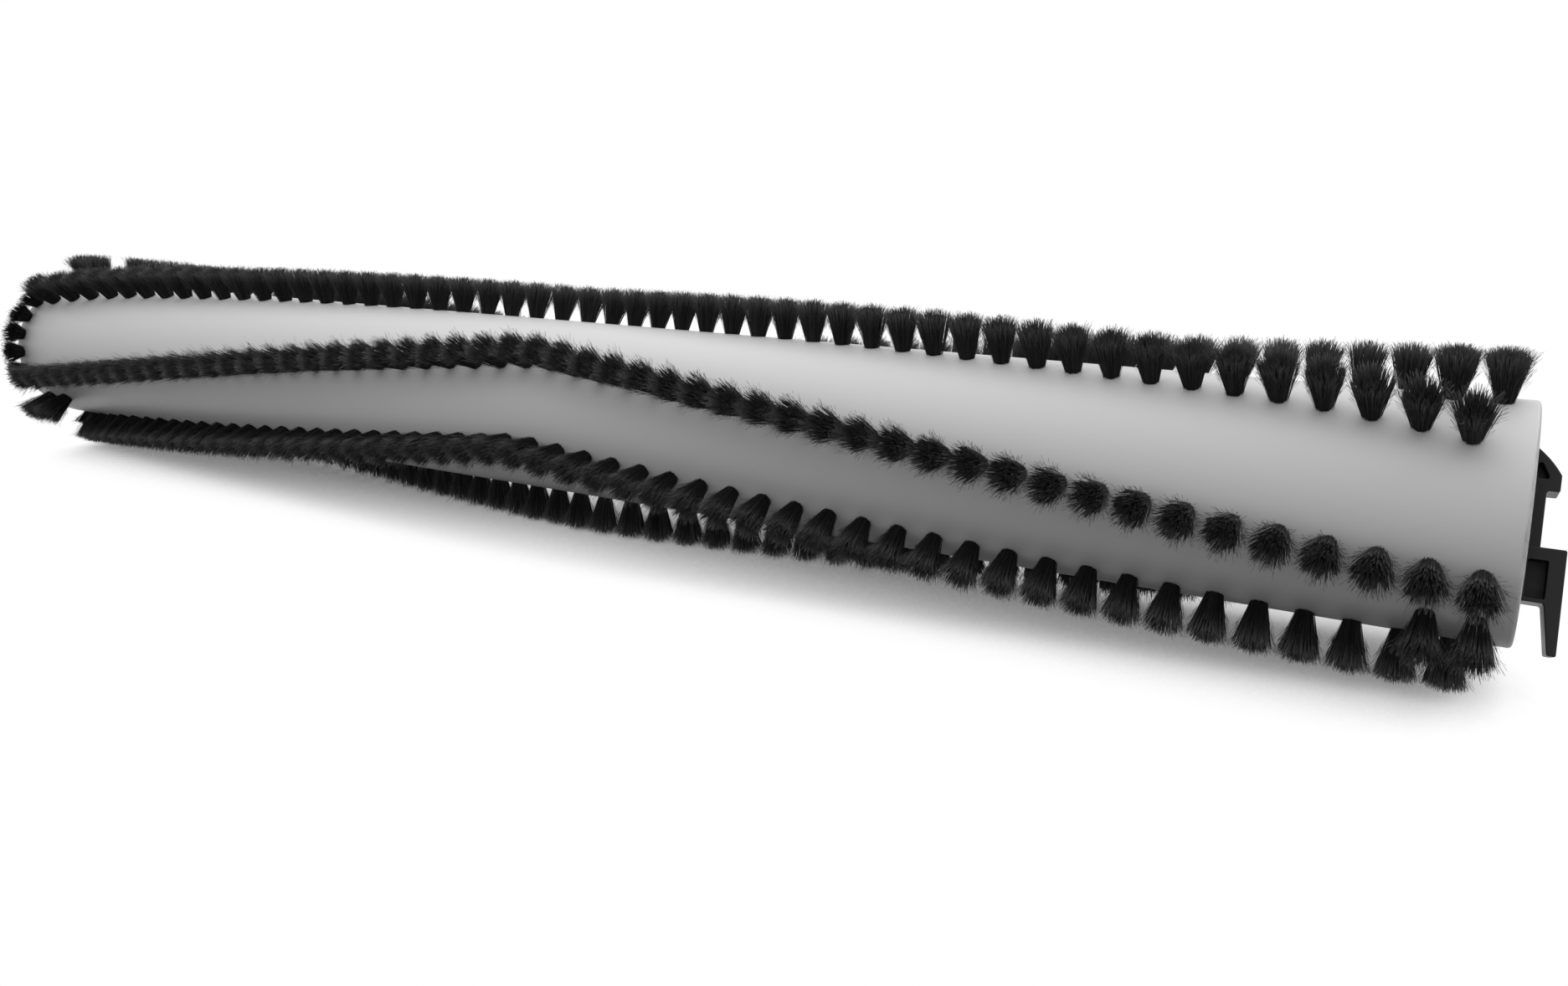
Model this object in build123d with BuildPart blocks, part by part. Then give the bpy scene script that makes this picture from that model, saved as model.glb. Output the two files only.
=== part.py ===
import os
from math import cos, isclose, radians, sin

from build123d import *

# Roller brush of an upright vacuum cleaner: a white moulded core with chevron rows of black
# bristle tufts, a hooked drive coupling at the +X end and a bearing on a stub axle at the -X end.
# X runs along the axis, -Y is the front, Z is up and the tufts rest on the floor at Z = 0.
# All sizes are millimetres and degrees.

# Core
core_length = 480.0
core_d = 48.0
core_edge_r = 0.8
bore_chamfer = 0.6
core_wall = 9.5

# Bristle tufts, each bound at its root on the core and flared to its tip
tuft_root_d = 3.6
tuft_tip_d = 8.6
tuft_length = 10.8
tuft_sides = 7
tuft_pitch = 8.98
edge_margin = 6.0
flat_spot_depth = 0.8

# Chevron rows: three groups of two rows, an upper one with curled ends and a lower one
row_groups = 3
first_row_angle = 60.2
wide_gap = 68.8
chevron_sweep = 50.9
end_curl = 6.6
curl_tufts = 5
arc_tufts = 5
arc_step = 14.4
arc_margin = 3.2
arc_tuft_length = 4.2
arc_tip_d = 6.6
pair_tufts = 2
bearing_pair_margin = 7.6

# Drive coupling: a thick fin with a hook and an arm, on a hollow spigot
fin_angle = 24.0
arm_thickness = 12.0
hook_thickness = 9.0
web_reach = 2.7
hook_reach = 5.0
hook_shoulder = 6.3
hook_face = 3.2
hook_rib = 2.3
hook_wall = 2.0
hook_top = 14.8
hook_curve_r = 18.0
claw_reach = 7.2
claw_top = 4.6
arm_bottom = 15.0
tongue_root = 3.0
tongue_tip = 1.6
tongue_length = 24.4
pocket_floor = 1.6
pocket_wall = 2.4
pocket_rib = 0.8
moulded_r = 0.6
corner_r = 0.4
edge_r = 0.25
spigot_length = 24.0
spigot_wall = 3.0
press_gap = 0.05

# Bearing end
axle_d = 8.0
axle_reach = 14.0
axle_chamfer = 0.8
axle_tail = 2.0
collar_d = 14.0
collar_thickness = 3.0
running_gap = 0.05
end_float = 0.3
bush_wall = 2.0
bush_length = 14.0
bush_flange_d = 17.0
bush_flange = 1.5
bush_overhang = 1.3
felt_width = 3.0
felt_thickness = 3.0
felt_gap = 0.3
plug_length = 26.0
cavity_wall = 4.5
washer_d = 14.0
washer_thickness = 1.0
clip_d = 13.0
clip_thickness = 0.9
clip_mouth = 5.0
clip_gap = 0.05
groove_depth = 0.9

# Sizes that follow from those above
core_r = core_d / 2
bore_r = core_r - core_wall
tuft_point_depth = tuft_length * tuft_root_d / (tuft_tip_d - tuft_root_d)
arc_point_depth = arc_tuft_length * tuft_root_d / (arc_tip_d - tuft_root_d)
axis_z = core_r + tuft_length - flat_spot_depth
middle_x = (axle_reach - claw_reach) / 2
drive_face_x = middle_x + core_length / 2
bearing_face_x = middle_x - core_length / 2
row_stagger = tuft_pitch / 2
row_intervals = int((core_length - 2 * edge_margin) / tuft_pitch - 1)
group_angle = 360.0 / row_groups
narrow_gap = group_angle - wide_gap
spigot_r = bore_r - press_gap
hook_corner = hook_shoulder + hook_face
axle_r = axle_d / 2
collar_r = collar_d / 2
bush_r = axle_r + running_gap + bush_wall
bush_flange_r = bush_flange_d / 2
felt_r = collar_r + felt_gap + felt_width
flange_face = collar_thickness + end_float
seat_end = flange_face + bush_length - bush_overhang
cavity_r = spigot_r - cavity_wall
washer_r = washer_d / 2
washer_face = flange_face + bush_length + end_float
groove_start = washer_face + washer_thickness
groove_end = groove_start + clip_thickness + 2 * clip_gap
groove_r = axle_r - groove_depth


# Turned pieces are half sections in these planes, with X along the axis and Y the radius
brush_axis = Axis((0, 0, axis_z), (1, 0, 0))
drive_section = Plane(origin=(drive_face_x, 0, axis_z), x_dir=(1, 0, 0), z_dir=(0, -1, 0))
bearing_section = Plane(origin=(bearing_face_x, 0, axis_z), x_dir=(1, 0, 0), z_dir=(0, -1, 0))


def tuft_place(x, angle):
    """Where a tuft stands on the core, with its angle measured upwards from the front."""
    outward = Vector(0, -cos(radians(angle)), sin(radians(angle)))
    root = Vector(x, 0, axis_z) + outward * core_r
    return Plane(origin=root, x_dir=(1, 0, 0), z_dir=outward).location


def row_places(end_angle, shift, curl):
    """One chevron row: tufts at an even pitch that climb from both ends to the middle of the core."""
    places = []
    for index in range(row_intervals + 1):
        x = middle_x + shift + (index - row_intervals / 2) * tuft_pitch
        from_end = min(index, row_intervals - index)
        climb = chevron_sweep * 2 * from_end / row_intervals
        bend = curl * max(0, 1 - from_end / curl_tufts) ** 2
        places.append(tuft_place(x, end_angle + climb - bend))
    return places


# Places of all tufts, by node
tuft_places = {}
for group in range(row_groups):
    upper_angle = first_row_angle - group * group_angle
    lower_angle = upper_angle - wide_gap
    pair_angle = upper_angle + narrow_gap / 2
    tuft_places[f"bristle_row_{2 * group + 1}"] = row_places(upper_angle, 0, end_curl)
    tuft_places[f"bristle_row_{2 * group + 2}"] = row_places(lower_angle, row_stagger, 0)
    last_x = middle_x + row_stagger + tuft_pitch * row_intervals / 2
    tuft_places[f"drive_end_pair_{group + 1}"] = [
        tuft_place(last_x - index * tuft_pitch, pair_angle)
        for index in range(pair_tufts)
    ]
    tuft_places[f"bearing_end_pair_{group + 1}"] = [
        tuft_place(bearing_face_x + bearing_pair_margin + index * tuft_pitch, pair_angle)
        for index in range(pair_tufts)
    ]
    tuft_places[f"edge_arc_{group + 1}"] = [
        tuft_place(bearing_face_x + arc_margin, lower_angle + index * arc_step)
        for index in range(arc_tufts)
    ]

os.makedirs("parts", exist_ok=True)

# One tuft: a faceted cone that tapers to a point inside the core, cut off at its root on the XY plane
with BuildPart() as tuft:
    with BuildSketch(Plane.XY.offset(tuft_length)) as tip:
        RegularPolygon(tuft_tip_d / 2, tuft_sides)
    loft(sections=[tip.sketch.face(), Vertex(0, 0, -tuft_point_depth)], ruled=True)
    split(bisect_by=Plane.XY, keep=Keep.TOP)

# A tuft of the edge arcs: cut short over the rim, from a root as thick
with BuildPart() as arc_tuft:
    with BuildSketch(Plane.XY.offset(arc_tuft_length)) as arc_tip:
        RegularPolygon(arc_tip_d / 2, tuft_sides)
    loft(sections=[arc_tip.sketch.face(), Vertex(0, 0, -arc_point_depth)], ruled=True)
    split(bisect_by=Plane.XY, keep=Keep.TOP)

# Tufts, grouped as they are punched; those under the brush are pressed flat on the floor
for name, places in tuft_places.items():
    planted = arc_tuft if name.startswith("edge_arc") else tuft
    with BuildPart() as tuft_group:
        with Locations(*places):
            add(planted.part)
        split(bisect_by=Plane.XY, keep=Keep.TOP)
    tuft_group.part.label = name
    export_step(tuft_group.part, f"parts/{name}.step")

# Core: a thick tube with rounded rims and bored ends
with BuildPart() as core_tube:
    with BuildSketch(bearing_section) as core_section:
        with BuildLine():
            Polyline((0, bore_r), (core_length, bore_r), (core_length, core_r), (0, core_r), close=True)
        make_face()
        fillet(core_section.vertices().group_by(Axis.Y)[-1], core_edge_r)
        chamfer(core_section.vertices().group_by(Axis.Y)[0], bore_chamfer)
    revolve(axis=brush_axis)
core_tube.part.label = "core_tube"
export_step(core_tube.part, "parts/core_tube.step")

# Drive coupling: a moulded fin in a plane through the axis, with X outwards and Y up the fin.
# A curved hook stands above the drive slot, and a thicker arm with a long tongue below it.
fin_plane = Plane(
    origin=(drive_face_x, 0, axis_z),
    x_dir=(1, 0, 0),
    z_dir=(0, -cos(radians(fin_angle)), sin(radians(fin_angle))),
)


def rim_edges(coupling, thickness):
    """The edges round both faces of the fin where it has this thickness, clear of the core."""
    outer_edges = coupling.edges().filter_by(lambda edge: edge.center().X > drive_face_x + edge_r)
    return outer_edges.filter_by(
        lambda edge: isclose(abs(fin_plane.to_local_coords(edge.center()).Z), thickness / 2, abs_tol=1e-4)
    )


with BuildPart() as drive_coupling:
    with BuildSketch(fin_plane) as hook:
        with BuildLine():
            hook_curve = RadiusArc((0, hook_top), (hook_reach, hook_corner), hook_curve_r)
            Polyline(
                hook_curve @ 1,
                (hook_reach, hook_shoulder),
                (web_reach, hook_shoulder),
                (web_reach, -claw_top - pocket_wall),
                (0, -claw_top - pocket_wall),
                hook_curve @ 0,
            )
        make_face()
        fillet(hook.vertices().group_by(Axis.X)[-1], corner_r)
        fillet(hook.vertices().sort_by_distance((web_reach, hook_shoulder))[0], moulded_r)
    extrude(amount=hook_thickness / 2, both=True)
    with BuildSketch(fin_plane) as hook_pocket:
        with BuildLine():
            Polyline(
                (pocket_rib, hook_shoulder + hook_rib),
                (hook_reach - hook_wall, hook_shoulder + hook_rib),
                (pocket_rib, hook_top - hook_wall),
                close=True,
            )
        make_face()
        fillet(hook_pocket.vertices(), corner_r)
    extrude(amount=hook_thickness / 2, both=True, mode=Mode.SUBTRACT)
    extrude(hook_pocket.sketch, amount=pocket_floor / 2, both=True)
    fillet(rim_edges(drive_coupling, hook_thickness), edge_r)
    with BuildSketch(fin_plane) as arm:
        with BuildLine():
            Polyline(
                (0, -claw_top),
                (claw_reach, -claw_top),
                (claw_reach, -tongue_length),
                (claw_reach - tongue_tip, -tongue_length),
                (claw_reach - tongue_root, -arm_bottom),
                (0, -arm_bottom),
                close=True,
            )
        make_face()
        fillet(arm.vertices().group_by(Axis.X)[-1], corner_r)
        fillet(arm.vertices().group_by(Axis.Y)[0].sort_by(Axis.X)[0], corner_r)
        fillet(arm.vertices().sort_by_distance((claw_reach - tongue_root, -arm_bottom))[0], moulded_r)
    extrude(amount=arm_thickness / 2, both=True)
    with BuildSketch(fin_plane) as arm_pocket:
        with BuildLine():
            Polyline(
                (pocket_rib, -claw_top - pocket_wall),
                (claw_reach - tongue_root, -claw_top - pocket_wall),
                (claw_reach - tongue_root, pocket_rib - arm_bottom),
                (pocket_rib, pocket_rib - arm_bottom),
                close=True,
            )
        make_face()
        fillet(arm_pocket.vertices(), corner_r)
    extrude(amount=arm_thickness / 2, both=True, mode=Mode.SUBTRACT)
    extrude(arm_pocket.sketch, amount=pocket_floor / 2, both=True)
    fillet(rim_edges(drive_coupling, arm_thickness), edge_r)
    with BuildSketch(drive_section):
        with BuildLine():
            Polyline(
                (0, 0),
                (0, spigot_r - bore_chamfer),
                (-bore_chamfer, spigot_r),
                (bore_chamfer - spigot_length, spigot_r),
                (-spigot_length, spigot_r - bore_chamfer),
                (-spigot_length, spigot_r - spigot_wall),
                (-spigot_wall, spigot_r - spigot_wall),
                (-spigot_wall, 0),
                close=True,
            )
        make_face()
    revolve(axis=brush_axis)
drive_coupling.part.label = "drive_coupling"
export_step(drive_coupling.part, "parts/drive_coupling.step")

# Bearing plug: pressed flush into the core, with a counterbore for the felt seal and the axle's
# collar, a seat for the bush and a cavity for the clip behind it
with BuildPart() as bearing_plug:
    with BuildSketch(bearing_section):
        with BuildLine():
            Polyline(
                (0, felt_r),
                (flange_face, felt_r),
                (flange_face, bush_flange_r),
                (flange_face + bush_flange, bush_flange_r),
                (flange_face + bush_flange, bush_r),
                (seat_end, bush_r),
                (seat_end, cavity_r),
                (plug_length, cavity_r),
                (plug_length, spigot_r - bore_chamfer),
                (plug_length - bore_chamfer, spigot_r),
                (bore_chamfer, spigot_r),
                (0, spigot_r - bore_chamfer),
                close=True,
            )
        make_face()
    revolve(axis=brush_axis)
bearing_plug.part.label = "bearing_plug"
export_step(bearing_plug.part, "parts/bearing_plug.step")

# Bearing bush: a flanged sleeve of sintered bronze, pressed into the plug
with BuildPart() as bearing_bush:
    with BuildSketch(bearing_section):
        with BuildLine():
            Polyline(
                (flange_face, axle_r + running_gap),
                (flange_face + bush_length, axle_r + running_gap),
                (flange_face + bush_length, bush_r),
                (flange_face + bush_flange, bush_r),
                (flange_face + bush_flange, bush_flange_r),
                (flange_face, bush_flange_r),
                close=True,
            )
        make_face()
    revolve(axis=brush_axis)
bearing_bush.part.label = "bearing_bush"
export_step(bearing_bush.part, "parts/bearing_bush.step")

# Felt seal: a ring in the plug's counterbore that keeps dust and hair from the bush
with BuildPart() as felt_seal:
    with BuildSketch(bearing_section):
        with BuildLine():
            Polyline(
                (flange_face - felt_thickness, felt_r - felt_width),
                (flange_face, felt_r - felt_width),
                (flange_face, felt_r),
                (flange_face - felt_thickness, felt_r),
                close=True,
            )
        make_face()
    revolve(axis=brush_axis)
felt_seal.part.label = "felt_seal"
export_step(felt_seal.part, "parts/felt_seal.step")

# Stub axle: a turned steel pin with a collar, a groove for the clip and chamfered ends
with BuildPart() as stub_axle:
    with BuildSketch(bearing_section):
        with BuildLine():
            Polyline(
                (-axle_reach, 0),
                (-axle_reach, axle_r - axle_chamfer),
                (axle_chamfer - axle_reach, axle_r),
                (0, axle_r),
                (0, collar_r),
                (collar_thickness, collar_r),
                (collar_thickness, axle_r),
                (groove_start, axle_r),
                (groove_start, groove_r),
                (groove_end, groove_r),
                (groove_end, axle_r),
                (groove_end + axle_tail - axle_chamfer, axle_r),
                (groove_end + axle_tail, axle_r - axle_chamfer),
                (groove_end + axle_tail, 0),
                close=True,
            )
        make_face()
    revolve(axis=brush_axis)
stub_axle.part.label = "stub_axle"
export_step(stub_axle.part, "parts/stub_axle.step")

# Thrust washer between the bush and the clip
with BuildPart() as thrust_washer:
    with BuildSketch(bearing_section):
        with BuildLine():
            Polyline(
                (washer_face, axle_r + running_gap),
                (washer_face + washer_thickness, axle_r + running_gap),
                (washer_face + washer_thickness, washer_r),
                (washer_face, washer_r),
                close=True,
            )
        make_face()
    revolve(axis=brush_axis)
thrust_washer.part.label = "thrust_washer"
export_step(thrust_washer.part, "parts/thrust_washer.step")

# Retaining clip: a stamped spring-steel ring with a mouth, snapped into the axle's groove
clip_plane = Plane(
    origin=(bearing_face_x + groove_start + clip_gap, 0, axis_z),
    x_dir=(0, 1, 0),
    z_dir=(1, 0, 0),
)
with BuildPart() as retaining_clip:
    with BuildSketch(clip_plane):
        Circle(clip_d / 2)
        Circle(groove_r + clip_gap, mode=Mode.SUBTRACT)
        Rectangle(clip_mouth, clip_d, align=(Align.CENTER, Align.MAX), mode=Mode.SUBTRACT)
    extrude(amount=clip_thickness)
retaining_clip.part.label = "retaining_clip"
export_step(retaining_clip.part, "parts/retaining_clip.step")
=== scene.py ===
import math

import bmesh
import bpy
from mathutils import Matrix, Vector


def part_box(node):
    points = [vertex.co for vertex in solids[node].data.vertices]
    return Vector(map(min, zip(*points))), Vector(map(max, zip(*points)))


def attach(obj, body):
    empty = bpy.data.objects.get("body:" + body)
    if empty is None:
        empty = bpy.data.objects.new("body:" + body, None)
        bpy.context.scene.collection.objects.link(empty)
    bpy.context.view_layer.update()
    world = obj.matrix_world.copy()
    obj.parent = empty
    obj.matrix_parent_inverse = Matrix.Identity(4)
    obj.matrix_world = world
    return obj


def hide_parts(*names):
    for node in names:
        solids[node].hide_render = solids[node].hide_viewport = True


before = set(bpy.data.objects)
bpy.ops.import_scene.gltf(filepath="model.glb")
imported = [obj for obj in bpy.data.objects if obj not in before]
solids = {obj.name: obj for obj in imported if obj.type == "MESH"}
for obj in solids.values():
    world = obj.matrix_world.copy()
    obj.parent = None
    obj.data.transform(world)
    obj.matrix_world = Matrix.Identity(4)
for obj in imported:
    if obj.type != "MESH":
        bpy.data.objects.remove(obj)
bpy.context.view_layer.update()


# The core is a long tube of white satin plastic, moulded in one piece.
# It is bored out at both ends for the pieces that drive it and carry it.


class Term:
    """A socket of a node tree, so that sums on values read as Python."""

    def __init__(self, socket):
        self.socket = socket

    def other(self, name):
        """Another output of the same node."""
        return Term(self.socket.node.outputs[name])

    def sum_with(self, operation, first, second):
        node = self.socket.id_data.nodes.new("ShaderNodeMath")
        node.operation = operation
        connect(node.inputs[0], first)
        connect(node.inputs[1], second)
        return Term(node.outputs[0])

    def __add__(self, term):
        return self.sum_with("ADD", self, term)

    def __radd__(self, term):
        return self.sum_with("ADD", term, self)

    def __sub__(self, term):
        return self.sum_with("SUBTRACT", self, term)

    def __rsub__(self, term):
        return self.sum_with("SUBTRACT", term, self)

    def __mul__(self, term):
        return self.sum_with("MULTIPLY", self, term)

    def __rmul__(self, term):
        return self.sum_with("MULTIPLY", term, self)

    def __truediv__(self, term):
        return self.sum_with("DIVIDE", self, term)

    def __rtruediv__(self, term):
        return self.sum_with("DIVIDE", term, self)

    def __pow__(self, term):
        return self.sum_with("POWER", self, term)

    def __lt__(self, term):
        return self.sum_with("LESS_THAN", self, term)


def connect(place, term):
    """Links a term to a socket, or sets a plain value on it."""
    if isinstance(term, Term):
        place.id_data.links.new(term.socket, place)
    else:
        place.default_value = term


def grey(level):
    """An opaque grey of the given brightness."""
    return (level, level, level, 1.0)


class Tree:
    """A node tree that gets all its other nodes from one method."""

    def __init__(self, tree):
        self.tree = tree

    def add(self, kind, settings=None, sockets=None, output=0):
        """Adds a node, makes its settings first, then its sockets by name or number."""
        node = self.tree.nodes.new(kind)
        for name, value in (settings or {}).items():
            if name == "captures":
                for label, socket_kind in value.items():
                    node.capture_items.new(socket_kind, label)
            else:
                setattr(node, name, value)
        places = [place for place in node.inputs if place.enabled]
        for name, term in (sockets or {}).items():
            if isinstance(name, str):
                connect(next(place for place in places if place.name == name), term)
            else:
                connect(places[name], term)
        results = [place for place in node.outputs if place.enabled]
        if isinstance(output, str):
            return Term(next(place for place in results if place.name == output))
        return Term(results[output])

    def blend(self, factor, first, second):
        """A colour from the first to the second, by a factor from 0 to 1."""
        settings = {"data_type": "RGBA", "clamp_factor": True}
        sockets = {"Factor": factor, "A": first, "B": second}
        return self.add("ShaderNodeMix", settings, sockets, "Result")


class Finish(Tree):
    """A material on the standard shader, with its constant values on the shader's own sockets."""

    def __init__(self, name, **constants):
        self.material = bpy.data.materials.new(name)
        self.material.use_nodes = True
        super().__init__(self.material.node_tree)
        self.shader = self.tree.nodes["Principled BSDF"]
        for socket, value in constants.items():
            self.shader.inputs[socket.replace("_", " ")].default_value = value
        self.place = self.add("ShaderNodeTexCoord", output="Object")

    def feed(self, socket, term):
        connect(self.shader.inputs[socket], term)

    def noise(self, size):
        """Smooth noise from 0 to 1, in patches of about the given size in metres."""
        return self.add("ShaderNodeTexNoise", sockets={"Vector": self.place, "Scale": 1.0 / size})

    def relief(self, height, strength, distance):
        """Bumps the surface by a height from 0 to 1."""
        sockets = {"Height": height, "Strength": strength, "Distance": distance}
        self.feed("Normal", self.add("ShaderNodeBump", sockets=sockets))

    def dress(self, *names):
        for name in names:
            solids[name].data.materials.clear()
            solids[name].data.materials.append(self.material)


satin_roughness = 0.38
satin_change = 0.1
satin_patch = 0.006
white_plastic = Finish("white satin plastic", Base_Color=grey(0.7), IOR=1.4)
white_plastic.feed("Roughness", satin_roughness + satin_change * white_plastic.noise(satin_patch))
white_plastic.dress("core_tube")


# The bristles are black nylon filaments, bundled into tufts that the core's holes grip.
# Each solid tuft of the frame becomes a bundle that fans out to a trimmed, slightly rounded head.
# Thick filaments rise from the seat round a packed middle, and fine ones fringe the head.

core_low, core_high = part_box("core_tube")
core_radius = (core_high.z - core_low.z) / 2.0
axis_height = (core_high.z + core_low.z) / 2.0
bristle_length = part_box("bristle_row_1")[1].z - core_high.z

bundle_sizes = {
    "Strands": 705,
    "Root radius": 0.0022,
    "Tip radius": 0.0055,
    "Length": bristle_length,
    "Strand radius": 0.00005,
    "Core radius": core_radius,
    "Axis height": axis_height,
}
arc_low, arc_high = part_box("edge_arc_1")
arc_spread = 0.8
arc_reach = 1.12
arc_sizes = {
    "Tip radius": arc_spread * (arc_high.x - arc_low.x),
    "Length": arc_reach * (core_low.y - arc_low.y),
}

# Painted light and shade: the filaments' colour runs from near black at the roots, painted shade,
# to grey at the tips, painted light from overhead.
shaded_root_black = grey(0.008)
lit_tip_grey = grey(0.33)
tip_light_power = 4.5
tone_patch = 0.0004
least_tone = 0.5
shaded_heart_tone = 0.2
black_nylon = Finish("black nylon", Roughness=0.55, IOR=1.3)
from_axis = black_nylon.add(
    "ShaderNodeVectorMath",
    {"operation": "MULTIPLY_ADD"},
    {0: black_nylon.place, 1: (0.0, 1.0, 1.0), 2: (0.0, 0.0, -axis_height)},
)
spoke = black_nylon.add("ShaderNodeVectorMath", {"operation": "LENGTH"}, {0: from_axis}, "Value")
up_the_bristle = (spoke - core_radius) / bristle_length
strand_tone = least_tone + black_nylon.noise(tone_patch)
spread_name = "from_middle"
from_middle = black_nylon.add("ShaderNodeAttribute", {"attribute_name": spread_name}, output="Fac")
# Painted shade: filaments in the heart of each tuft are darker than those at its edge; the noise
# tone between filaments is their own random tone.
tone_and_heart_shade = strand_tone * (shaded_heart_tone + (1.0 - shaded_heart_tone) * from_middle)
black_nylon.feed(
    "Base Color", black_nylon.blend(up_the_bristle**tip_light_power * tone_and_heart_shade, shaded_root_black, lit_tip_grey)
)

bundle_group = bpy.data.node_groups.new("bundle of bristles", "GeometryNodeTree")
bundle_inputs = {}
for label, kind in (
    ("Tufts", "Geometry"),
    ("Strands", "Int"),
    ("Root radius", "Float"),
    ("Tip radius", "Float"),
    ("Length", "Float"),
    ("Strand radius", "Float"),
    ("Core radius", "Float"),
    ("Axis height", "Float"),
    ("Seed", "Int"),
    ("Bristle", "Material"),
):
    bundle_inputs[label] = bundle_group.interface.new_socket(
        label, in_out="INPUT", socket_type="NodeSocket" + kind
    )
bundle_group.interface.new_socket("Bundles", in_out="OUTPUT", socket_type="NodeSocketGeometry")


class BundleTree(Tree):
    """Geometry nodes that turn each separate solid of a mesh into a bundle of bristles."""

    def __init__(self, tree):
        super().__init__(tree)
        self.first_input = self.add("NodeGroupInput")

    def given(self, name):
        return self.first_input.other(name)

    def vector(self, operation, *terms, **scale):
        """A Vector Math node on the terms, with Scale where the operation has one."""
        sockets = {**dict(enumerate(terms)), **scale}
        return self.add("ShaderNodeVectorMath", {"operation": operation}, sockets)

    def xyz(self, **parts):
        return self.add("ShaderNodeCombineXYZ", sockets=parts)

    def chance(self, low, high, salt):
        """A random value for each bristle, the same in every run."""
        sockets = {"Min": low, "Max": high, "Seed": self.given("Seed") + salt}
        return self.add("FunctionNodeRandomValue", {"data_type": "FLOAT"}, sockets)

    def across(self, out, along_part, round_part):
        """A vector across a tuft that points out, from its parts along the core and round it."""
        round_core = self.vector("CROSS_PRODUCT", out, (1.0, 0.0, 0.0))
        round_step = self.vector("SCALE", round_core, Scale=round_part)
        return self.vector("ADD", self.xyz(X=along_part), round_step)


bundle = BundleTree(bundle_group)
position = bundle.add("GeometryNodeInputPosition")
tuft = bundle.add("GeometryNodeInputMeshIsland", output="Island Index")
corner_sum = bundle.add(
    "GeometryNodeAccumulateField",
    {"data_type": "FLOAT_VECTOR"},
    {"Value": position, "Group ID": tuft},
    "Total",
)
corner_count = bundle.add(
    "GeometryNodeAccumulateField",
    {"data_type": "FLOAT"},
    {"Value": 1.0, "Group ID": tuft},
    "Total",
)
tuft_middle = bundle.vector("SCALE", corner_sum, Scale=1.0 / corner_count)


def spoke_through(place):
    """The point on the brush's axis level with a place, and the direction from it to the place."""
    station = bundle.add("ShaderNodeSeparateXYZ", sockets={"Vector": place}, output="X")
    on_axis = bundle.xyz(X=station, Z=bundle.given("Axis height"))
    return on_axis, bundle.vector("NORMALIZE", bundle.vector("SUBTRACT", place, on_axis))


packed_height = 0.6
packed_root = 0.92
packed_taper = 0.24
tuft_foot, tuft_spoke = spoke_through(tuft_middle)
from_foot = bundle.vector("SUBTRACT", position, tuft_foot)
corner_height = bundle.vector("DOT_PRODUCT", from_foot, tuft_spoke)
corner_rise = bundle.vector("SCALE", tuft_spoke, Scale=corner_height)
corner_side = bundle.vector("SUBTRACT", position, bundle.vector("ADD", tuft_foot, corner_rise))
above_core = corner_height - bundle.given("Core radius")
packed_spoke = bundle.given("Core radius") + above_core * packed_height
packed_width = packed_root - packed_taper * above_core / bundle.given("Length")
packed_place = bundle.vector(
    "ADD",
    bundle.vector("ADD", tuft_foot, bundle.vector("SCALE", tuft_spoke, Scale=packed_spoke)),
    bundle.vector("SCALE", corner_side, Scale=packed_width),
)
packed_middles = bundle.add(
    "GeometryNodeSetPosition",
    sockets={"Geometry": bundle.given("Tufts"), "Position": packed_place},
)
tuft_points = bundle.add(
    "GeometryNodeMeshToPoints",
    {"mode": "VERTICES"},
    {
        "Mesh": bundle.given("Tufts"),
        "Selection": corner_count.other("Trailing") < 0.5,
        "Position": tuft_middle,
    },
)
bristle_points = bundle.add(
    "GeometryNodeDuplicateElements",
    {"domain": "POINT"},
    {"Geometry": tuft_points, "Amount": bundle.given("Strands")},
)

golden_turn = math.pi * (3.0 - math.sqrt(5.0))
turn_jitter = 0.3
number = bristle_points.other("Duplicate Index")
turn = number * golden_turn + bundle.chance(-turn_jitter, turn_jitter, 1)
cosine = bundle.add("ShaderNodeMath", {"operation": "COSINE"}, {0: turn})
sine = bundle.add("ShaderNodeMath", {"operation": "SINE"}, {0: turn})
on_axis, outwards = spoke_through(position)

fringe_share = 0.65
top_share = 0.4
body_share = 0.86
flank_shares = (0.8, 1.0)
rounded_cut = 0.16
body_cut = 0.93
fringe_overhang = 0.06
flank_ends = (0.4, 0.9)
fringe_lengths = (0.14, 0.3)
seat = -0.3
stray_power = 3.5
fringe = bundle.chance(0.0, 1.0, 2) < fringe_share
flank = fringe - fringe * (bundle.chance(0.0, 1.0, 3) < top_share)
inner_share = body_share * ((number + 0.5) / bundle.given("Strands")) ** 0.5
share = inner_share + flank * (bundle.chance(*flank_shares, 4) - inner_share)
trim = bundle.chance(body_cut, body_cut + fringe_overhang * fringe, 5)
top_end = (1.0 - rounded_cut * share * share) * trim
end = top_end + flank * (bundle.chance(*flank_ends, 6) - top_end)
start = seat + fringe * (end - bundle.chance(*fringe_lengths, 7) - seat)
stray = fringe * bundle.chance(0.0, 1.0, 8) ** stray_power
toned_points = bundle.add(
    "GeometryNodeStoreNamedAttribute",
    {"data_type": "FLOAT", "domain": "POINT"},
    {"Geometry": bristle_points, "Name": spread_name, "Value": share},
)


def flare(height):
    """Half the tuft's width at a share of its height."""
    widening = bundle.given("Tip radius") - bundle.given("Root radius")
    return bundle.given("Root radius") + widening * height


fringe_gather = 0.06
stray_reach = 0.002
start_spread = share * flare(start) * (1.0 - fringe_gather * fringe)
end_spread = share * flare(end) + stray_reach * stray * end


def point_in_tuft(height, along_part, round_part):
    """A point at a share of the tuft's height, moved along the core and round it."""
    spoke_length = bundle.given("Core radius") + bundle.given("Length") * height
    middle = bundle.vector("ADD", on_axis, bundle.vector("SCALE", outwards, Scale=spoke_length))
    return bundle.vector("ADD", middle, bundle.across(outwards, along_part, round_part))


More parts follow.
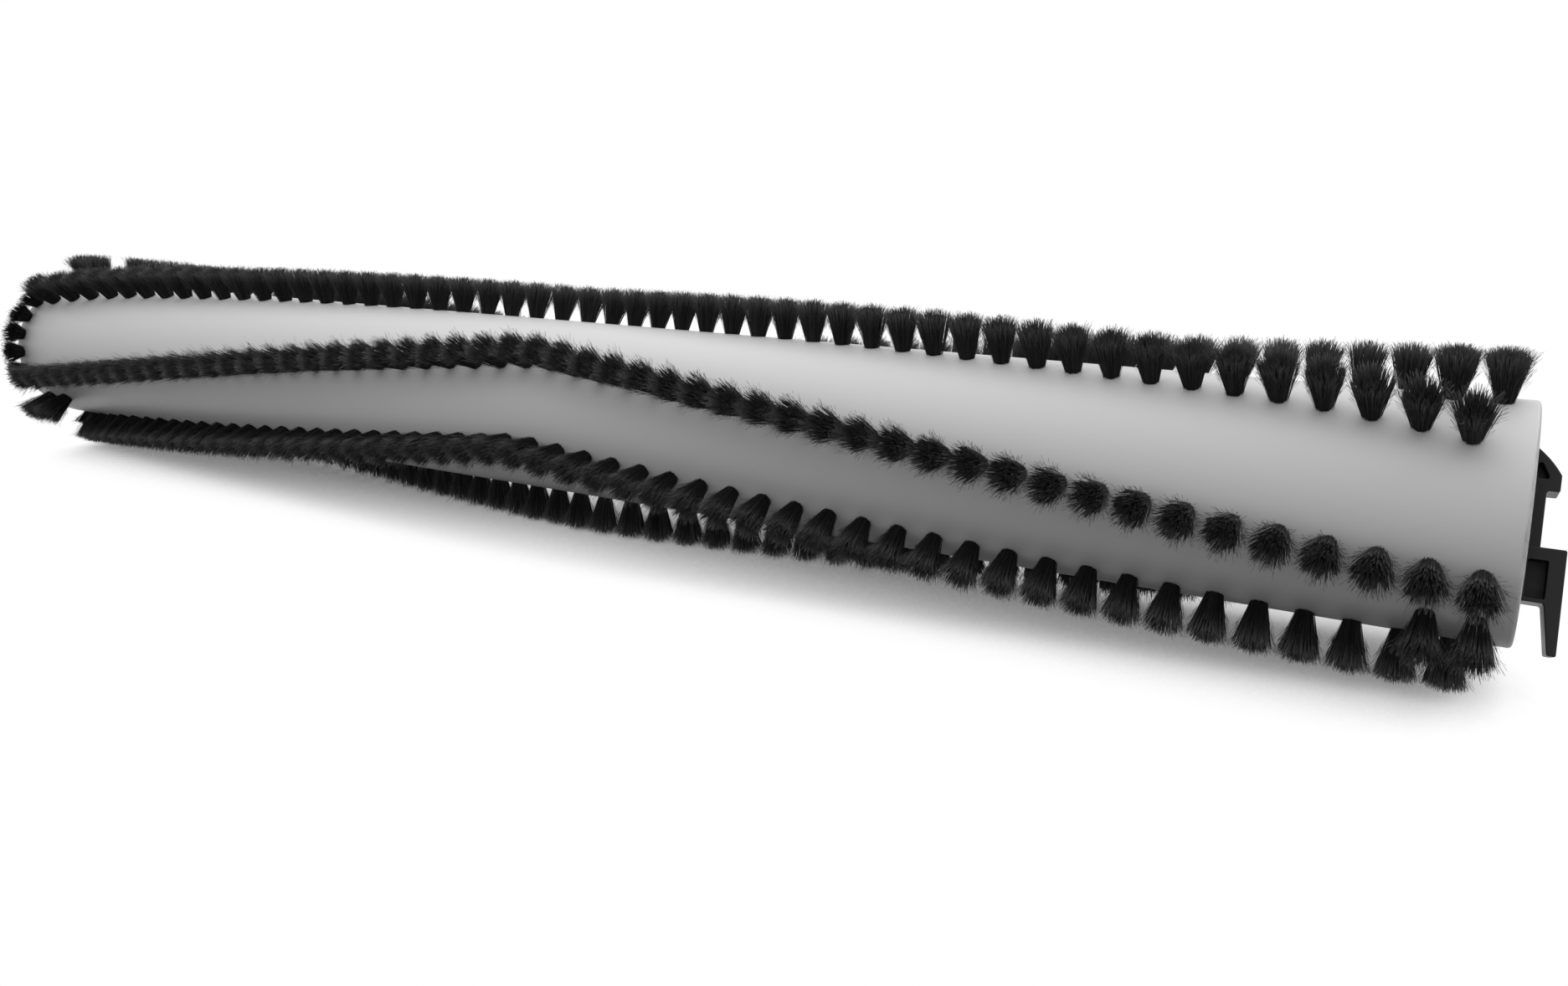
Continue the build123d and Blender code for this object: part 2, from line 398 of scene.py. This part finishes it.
sway = 0.0003
bristle_rest = 0.0002
body_thickness = 3.0
bow = 1.5
bow_shares = (-1.0, -0.3)
root = point_in_tuft(start, cosine * start_spread, sine * start_spread)
free_tip = point_in_tuft(
    end,
    cosine * end_spread + bundle.chance(-sway, sway, 9),
    sine * end_spread + bundle.chance(-sway, sway, 10),
)
tip = bundle.vector("MAXIMUM", free_tip, (-1.0, -1.0, bristle_rest))
thickness = bundle.given("Strand radius") * (body_thickness - (body_thickness - 1.0) * fringe)
sideways = bundle.across(outwards, -1.0 * sine * thickness, cosine * thickness)
bend = bow * thickness * bundle.chance(*bow_shares, 11)
inwards = bundle.across(outwards, bend * cosine, bend * sine)
bristle_lines = bundle.add(
    "GeometryNodeCaptureAttribute",
    {"captures": {"Root": "VECTOR", "Tip": "VECTOR", "Sideways": "VECTOR", "Inwards": "VECTOR"}},
    {"Geometry": toned_points, "Root": root, "Tip": tip, "Sideways": sideways, "Inwards": inwards},
)

bristle_shape = bundle.add(
    "GeometryNodeMeshCone",
    {"fill_type": "NGON"},
    {"Vertices": 3, "Radius Top": 1.0, "Radius Bottom": 0.0, "Depth": 1.0},
)
one_bristle = bundle.add(
    "GeometryNodeCaptureAttribute",
    {"captures": {"Shape": "VECTOR"}},
    {"Geometry": bristle_shape, "Shape": position},
)
all_bristles = bundle.add(
    "GeometryNodeRealizeInstances",
    sockets={
        "Geometry": bundle.add(
            "GeometryNodeInstanceOnPoints",
            sockets={"Points": bristle_lines, "Instance": one_bristle},
        )
    },
)

elbow = 0.86
shape = bundle.add("ShaderNodeSeparateXYZ", sockets={"Vector": one_bristle.other("Shape")})
at_elbow = shape < 0.0
along = shape.other("Z") * (1.0 - (1.0 - elbow) * at_elbow)
straight = bundle.add(
    "ShaderNodeMix",
    {"data_type": "VECTOR"},
    {"Factor": along, "A": bristle_lines.other("Root"), "B": bristle_lines.other("Tip")},
    "Result",
)
bent = bundle.vector(
    "ADD", straight, bundle.vector("SCALE", bristle_lines.other("Inwards"), Scale=at_elbow)
)
skin = bundle.vector(
    "ADD", bent, bundle.vector("SCALE", bristle_lines.other("Sideways"), Scale=shape.other("Y"))
)
grown = bundle.add("GeometryNodeSetPosition", sockets={"Geometry": all_bristles, "Position": skin})
whole = bundle.add("GeometryNodeJoinGeometry", sockets={"Geometry": grown})
connect(whole.socket.node.inputs["Geometry"], packed_middles)
finished = bundle.add(
    "GeometryNodeSetMaterial",
    sockets={"Geometry": whole, "Material": bundle.given("Bristle")},
)
bundle_output = bundle.tree.nodes.new("NodeGroupOutput")
connect(bundle_output.inputs["Bundles"], finished)

merge_distance = 1e-6
tuft_kinds = ("bristle_row", "edge_arc", "drive_end_pair", "bearing_end_pair")
tuft_nodes = sorted(name for name in solids if name.startswith(tuft_kinds))
for seed, node in enumerate(tuft_nodes):
    sizes = {**bundle_sizes, **arc_sizes} if node.startswith("edge_arc") else bundle_sizes
    mesh = solids[node].data.copy()
    merged = bmesh.new()
    merged.from_mesh(mesh)
    bmesh.ops.remove_doubles(merged, verts=merged.verts, dist=merge_distance)
    merged.to_mesh(mesh)
    merged.free()
    piece = bpy.data.objects.new(node + "_bristles", mesh)
    bpy.context.scene.collection.objects.link(piece)
    growth = piece.modifiers.new("bundles", "NODES")
    growth.node_group = bundle_group
    for label, value in {**sizes, "Seed": seed, "Bristle": black_nylon.material}.items():
        growth[bundle_inputs[label].identifier] = value
    evaluated = piece.evaluated_get(bpy.context.evaluated_depsgraph_get())
    bristle_mesh = bpy.data.meshes.new_from_object(evaluated)
    piece.modifiers.remove(growth)
    piece.data = bristle_mesh
    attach(piece, "brush")
    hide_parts(node)


# The drive coupling is one black moulding, pressed into the core at the near end.
# Its hook, arm and tongue grip the driver, and its sides are cored out to thin ribs.

moulding_black = (0.006, 0.006, 0.0065, 1.0)
moulding_roughness = 0.36
moulding_change = 0.12
moulding_patch = 0.0015
mould_grain = 0.00035
mould_grain_strength = 0.12
mould_grain_depth = 0.00008
black_plastic = Finish("black moulded plastic", Base_Color=moulding_black, IOR=1.36)
dulling = black_plastic.noise(moulding_patch)
black_plastic.feed("Roughness", moulding_roughness + moulding_change * dulling)
black_plastic.relief(black_plastic.noise(mould_grain), mould_grain_strength, mould_grain_depth)
black_plastic.dress("drive_coupling")


# The far end carries a black moulded plug with a sintered bronze bush pressed into it.
# A felt ring round the axle's collar keeps hair and dust out of the bush.

black_plastic.dress("bearing_plug")

bronze_dark = (0.30, 0.19, 0.09, 1.0)
bronze_light = (0.48, 0.32, 0.16, 1.0)
bronze_roughness = 0.34
bronze_change = 0.2
bronze_grit = 0.0004
bronze = Finish("sintered bronze", Metallic=1.0)
bronze_grain = bronze.noise(bronze_grit)
bronze.feed("Base Color", bronze.blend(bronze_grain, bronze_dark, bronze_light))
bronze.feed("Roughness", bronze_roughness + bronze_change * bronze_grain)
bronze.dress("bearing_bush")

felt_dark = (0.10, 0.095, 0.09, 1.0)
felt_light = (0.24, 0.23, 0.215, 1.0)
fibre_size = 0.0005
fibre_strength = 0.8
fibre_depth = 0.0003
felt = Finish("pressed felt", Roughness=0.95, Sheen_Weight=0.3)
felt_fibres = felt.noise(fibre_size)
felt.feed("Base Color", felt.blend(felt_fibres, felt_dark, felt_light))
felt.relief(felt_fibres, fibre_strength, fibre_depth)
felt.dress("felt_seal")


# The stub axle is turned from steel and runs in the bush, held by a washer and a clip.
# Its free end stays still in the cleaner's bearing block while the brush turns.

steel_grey = (0.52, 0.53, 0.54, 1.0)
steel_roughness = 0.22
steel_change = 0.16
turning_pitch = 0.0003
turning_stretch = (1.0, 0.1, 0.1)
steel = Finish("turned steel", Base_Color=steel_grey, Metallic=1.0)
stretched = steel.add(
    "ShaderNodeVectorMath", {"operation": "MULTIPLY"}, {0: steel.place, 1: turning_stretch}
)
turning_marks = steel.add(
    "ShaderNodeTexNoise", sockets={"Vector": stretched, "Scale": 1.0 / turning_pitch}
)
steel.feed("Roughness", steel_roughness + steel_change * turning_marks)
steel.dress("stub_axle", "thrust_washer", "retaining_clip")


# The floor glows as white as the backdrop to the camera and in reflections. Near the brush an
# occlusion measure fades that glow to grey: a painted soft shadow. To light on its way it is a dim
# grey sheet.

floor_half = 4.0
floor_mesh = bpy.data.meshes.new("floor")
floor_mesh.from_pydata(
    [
        (-floor_half, -floor_half, 0.0),
        (floor_half, -floor_half, 0.0),
        (floor_half, floor_half, 0.0),
        (-floor_half, floor_half, 0.0),
    ],
    [],
    [(0, 1, 2, 3)],
)
floor = bpy.data.objects.new("floor", floor_mesh)
bpy.context.scene.collection.objects.link(floor)
floor_paper = bpy.data.materials.new("pale floor")
floor_paper.use_nodes = True
floor_paper.node_tree.nodes.remove(floor_paper.node_tree.nodes["Principled BSDF"])
paper = Tree(floor_paper.node_tree)


def seen_directly(tree):
    """1 for what the camera sees, straight or in a reflection, and 0 for light on its way."""
    path = tree.add("ShaderNodeLightPath", output="Is Camera Ray")
    return path + path.other("Is Glossy Ray") + path.other("Is Transmission Ray")


shadow_samples = 16
shadow_reach = 0.08
shadow_fade = 2.05
shadow_grey = grey(0.05)
paper_white = grey(1.0)
bounce_grey = grey(0.06)
openness = paper.add(
    "ShaderNodeAmbientOcclusion", {"samples": shadow_samples}, {"Distance": shadow_reach}, "AO"
)
# Painted shadow: the glow fades from white to grey where the occlusion measure finds the brush
# close by.
shade = paper.blend(shadow_fade * openness, shadow_grey, paper_white)
shaded = paper.add("ShaderNodeEmission", sockets={"Color": shade})
dim = paper.add("ShaderNodeBsdfDiffuse", sockets={"Color": bounce_grey})
mixed = paper.add("ShaderNodeMixShader", sockets={0: seen_directly(paper), 1: dim, 2: shaded})
connect(floor_paper.node_tree.nodes["Material Output"].inputs["Surface"], mixed)
floor_mesh.materials.append(floor_paper)


# The light is one broad soft lamp overhead and a dim even fill from all round.
# Where the camera sees the fill it is as white as the floor, so the two meet without a line.

fill_level = 0.6
lamp_energy = 1.45
lamp_breadth = 100.0
lamp_tilt = -12.0
world = bpy.data.worlds.new("studio")
world.use_nodes = True
bpy.context.scene.world = world
studio = Tree(world.node_tree)
backdrop = world.node_tree.nodes["Background"]
backdrop.inputs["Color"].default_value = paper_white
connect(backdrop.inputs["Strength"], fill_level + (1.0 - fill_level) * seen_directly(studio))

overhead = bpy.data.lights.new("overhead", "SUN")
overhead.energy = lamp_energy
overhead.angle = math.radians(lamp_breadth)
lamp = bpy.data.objects.new("overhead", overhead)
lamp.rotation_euler = (math.radians(lamp_tilt), 0.0, 0.0)
bpy.context.scene.collection.objects.link(lamp)


# The camera stands close in front of the drive end and looks along the brush.
# Its lens and its shift are given in pixels of the photograph's frame.

frame_width = 1873.0
frame_height = 1178.0
focal_pixels = 1316.5
centre_pixel = (1187.4, 542.9)
camera_place = (0.23548, -0.225984, 0.102952)
camera_tilt = 74.75
camera_turn = 24.98
film_width = 36.0
nearest_seen = 0.01
camera_data = bpy.data.cameras.new("camera")
camera_data.sensor_width = film_width
camera_data.lens = focal_pixels / frame_width * film_width
camera_data.shift_x = (frame_width / 2.0 - centre_pixel[0]) / frame_width
camera_data.shift_y = (centre_pixel[1] - frame_height / 2.0) / frame_width
camera_data.clip_start = nearest_seen
camera = bpy.data.objects.new("camera", camera_data)
camera.location = camera_place
camera.rotation_euler = (math.radians(camera_tilt), 0.0, math.radians(camera_turn))
bpy.context.scene.collection.objects.link(camera)
bpy.context.scene.camera = camera
bpy.context.scene.view_settings.view_transform = "Standard"
